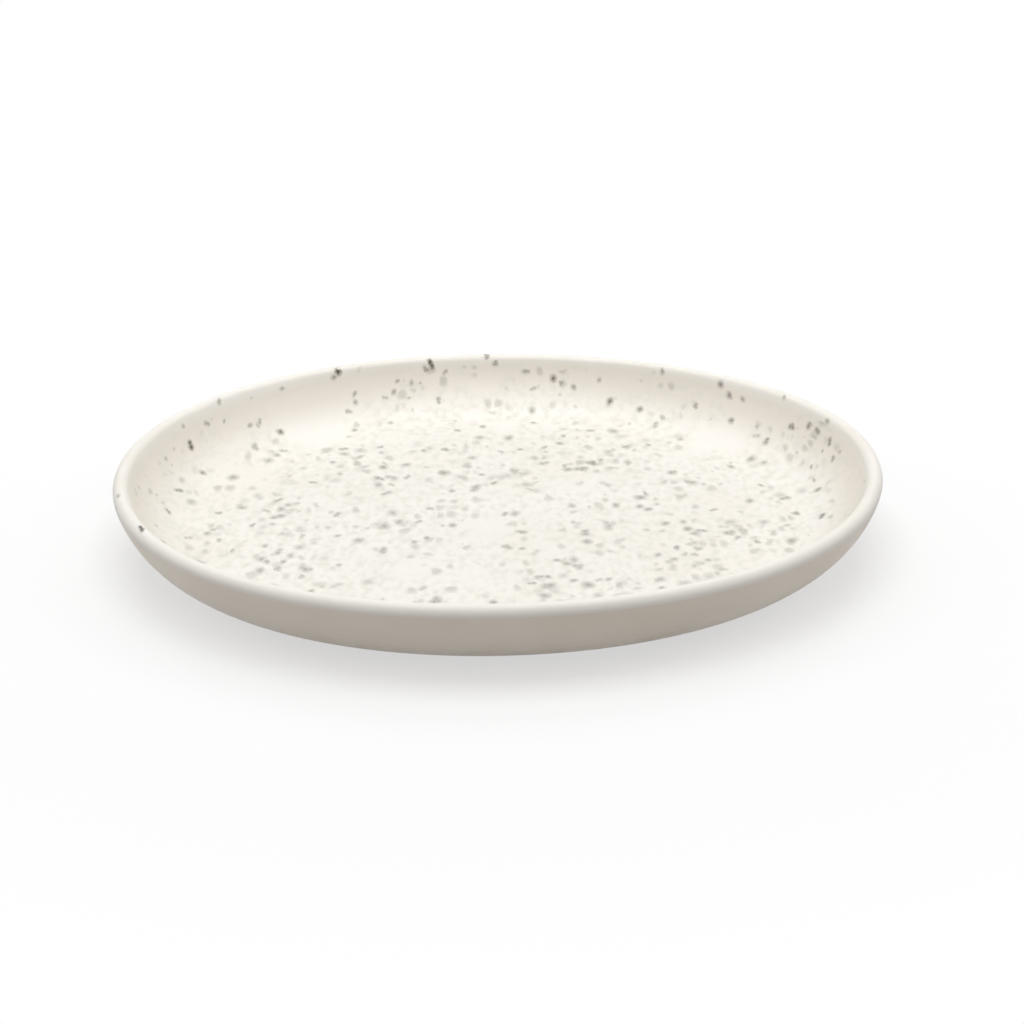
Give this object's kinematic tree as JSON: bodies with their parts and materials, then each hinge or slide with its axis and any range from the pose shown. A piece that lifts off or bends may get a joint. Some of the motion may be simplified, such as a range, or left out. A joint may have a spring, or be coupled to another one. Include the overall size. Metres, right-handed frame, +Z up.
{
  "type": "dessert plate",
  "caption": "Round coupe dessert plate of glazed stoneware: flat speckled floor, low curved wall, rounded lip, and a bare foot ring to stand on.",
  "frame": {"origin": "centre of the foot ring, on the plane that it stands on", "axes": "+Z up along the plate's axis of revolution; X and Y lie in the table and are interchangeable, and -Y is the side nearest the camera in the picture"},
  "size_m": [0.21, 0.21, 0.023],
  "materials": {
    "bare_stoneware": "fired, unglazed, sponged smooth",
    "speckled_cream_glaze": "satin cream glaze with dark iron flecks",
    "plain_cream_glaze": "satin cream glaze, plain"
  },
  "bodies": {
    "root": {"stoneware_body": "bare_stoneware", "inner_glaze": "speckled_cream_glaze", "outer_glaze": "plain_cream_glaze", "recess_glaze": "plain_cream_glaze"}
  },
  "joints": []
}
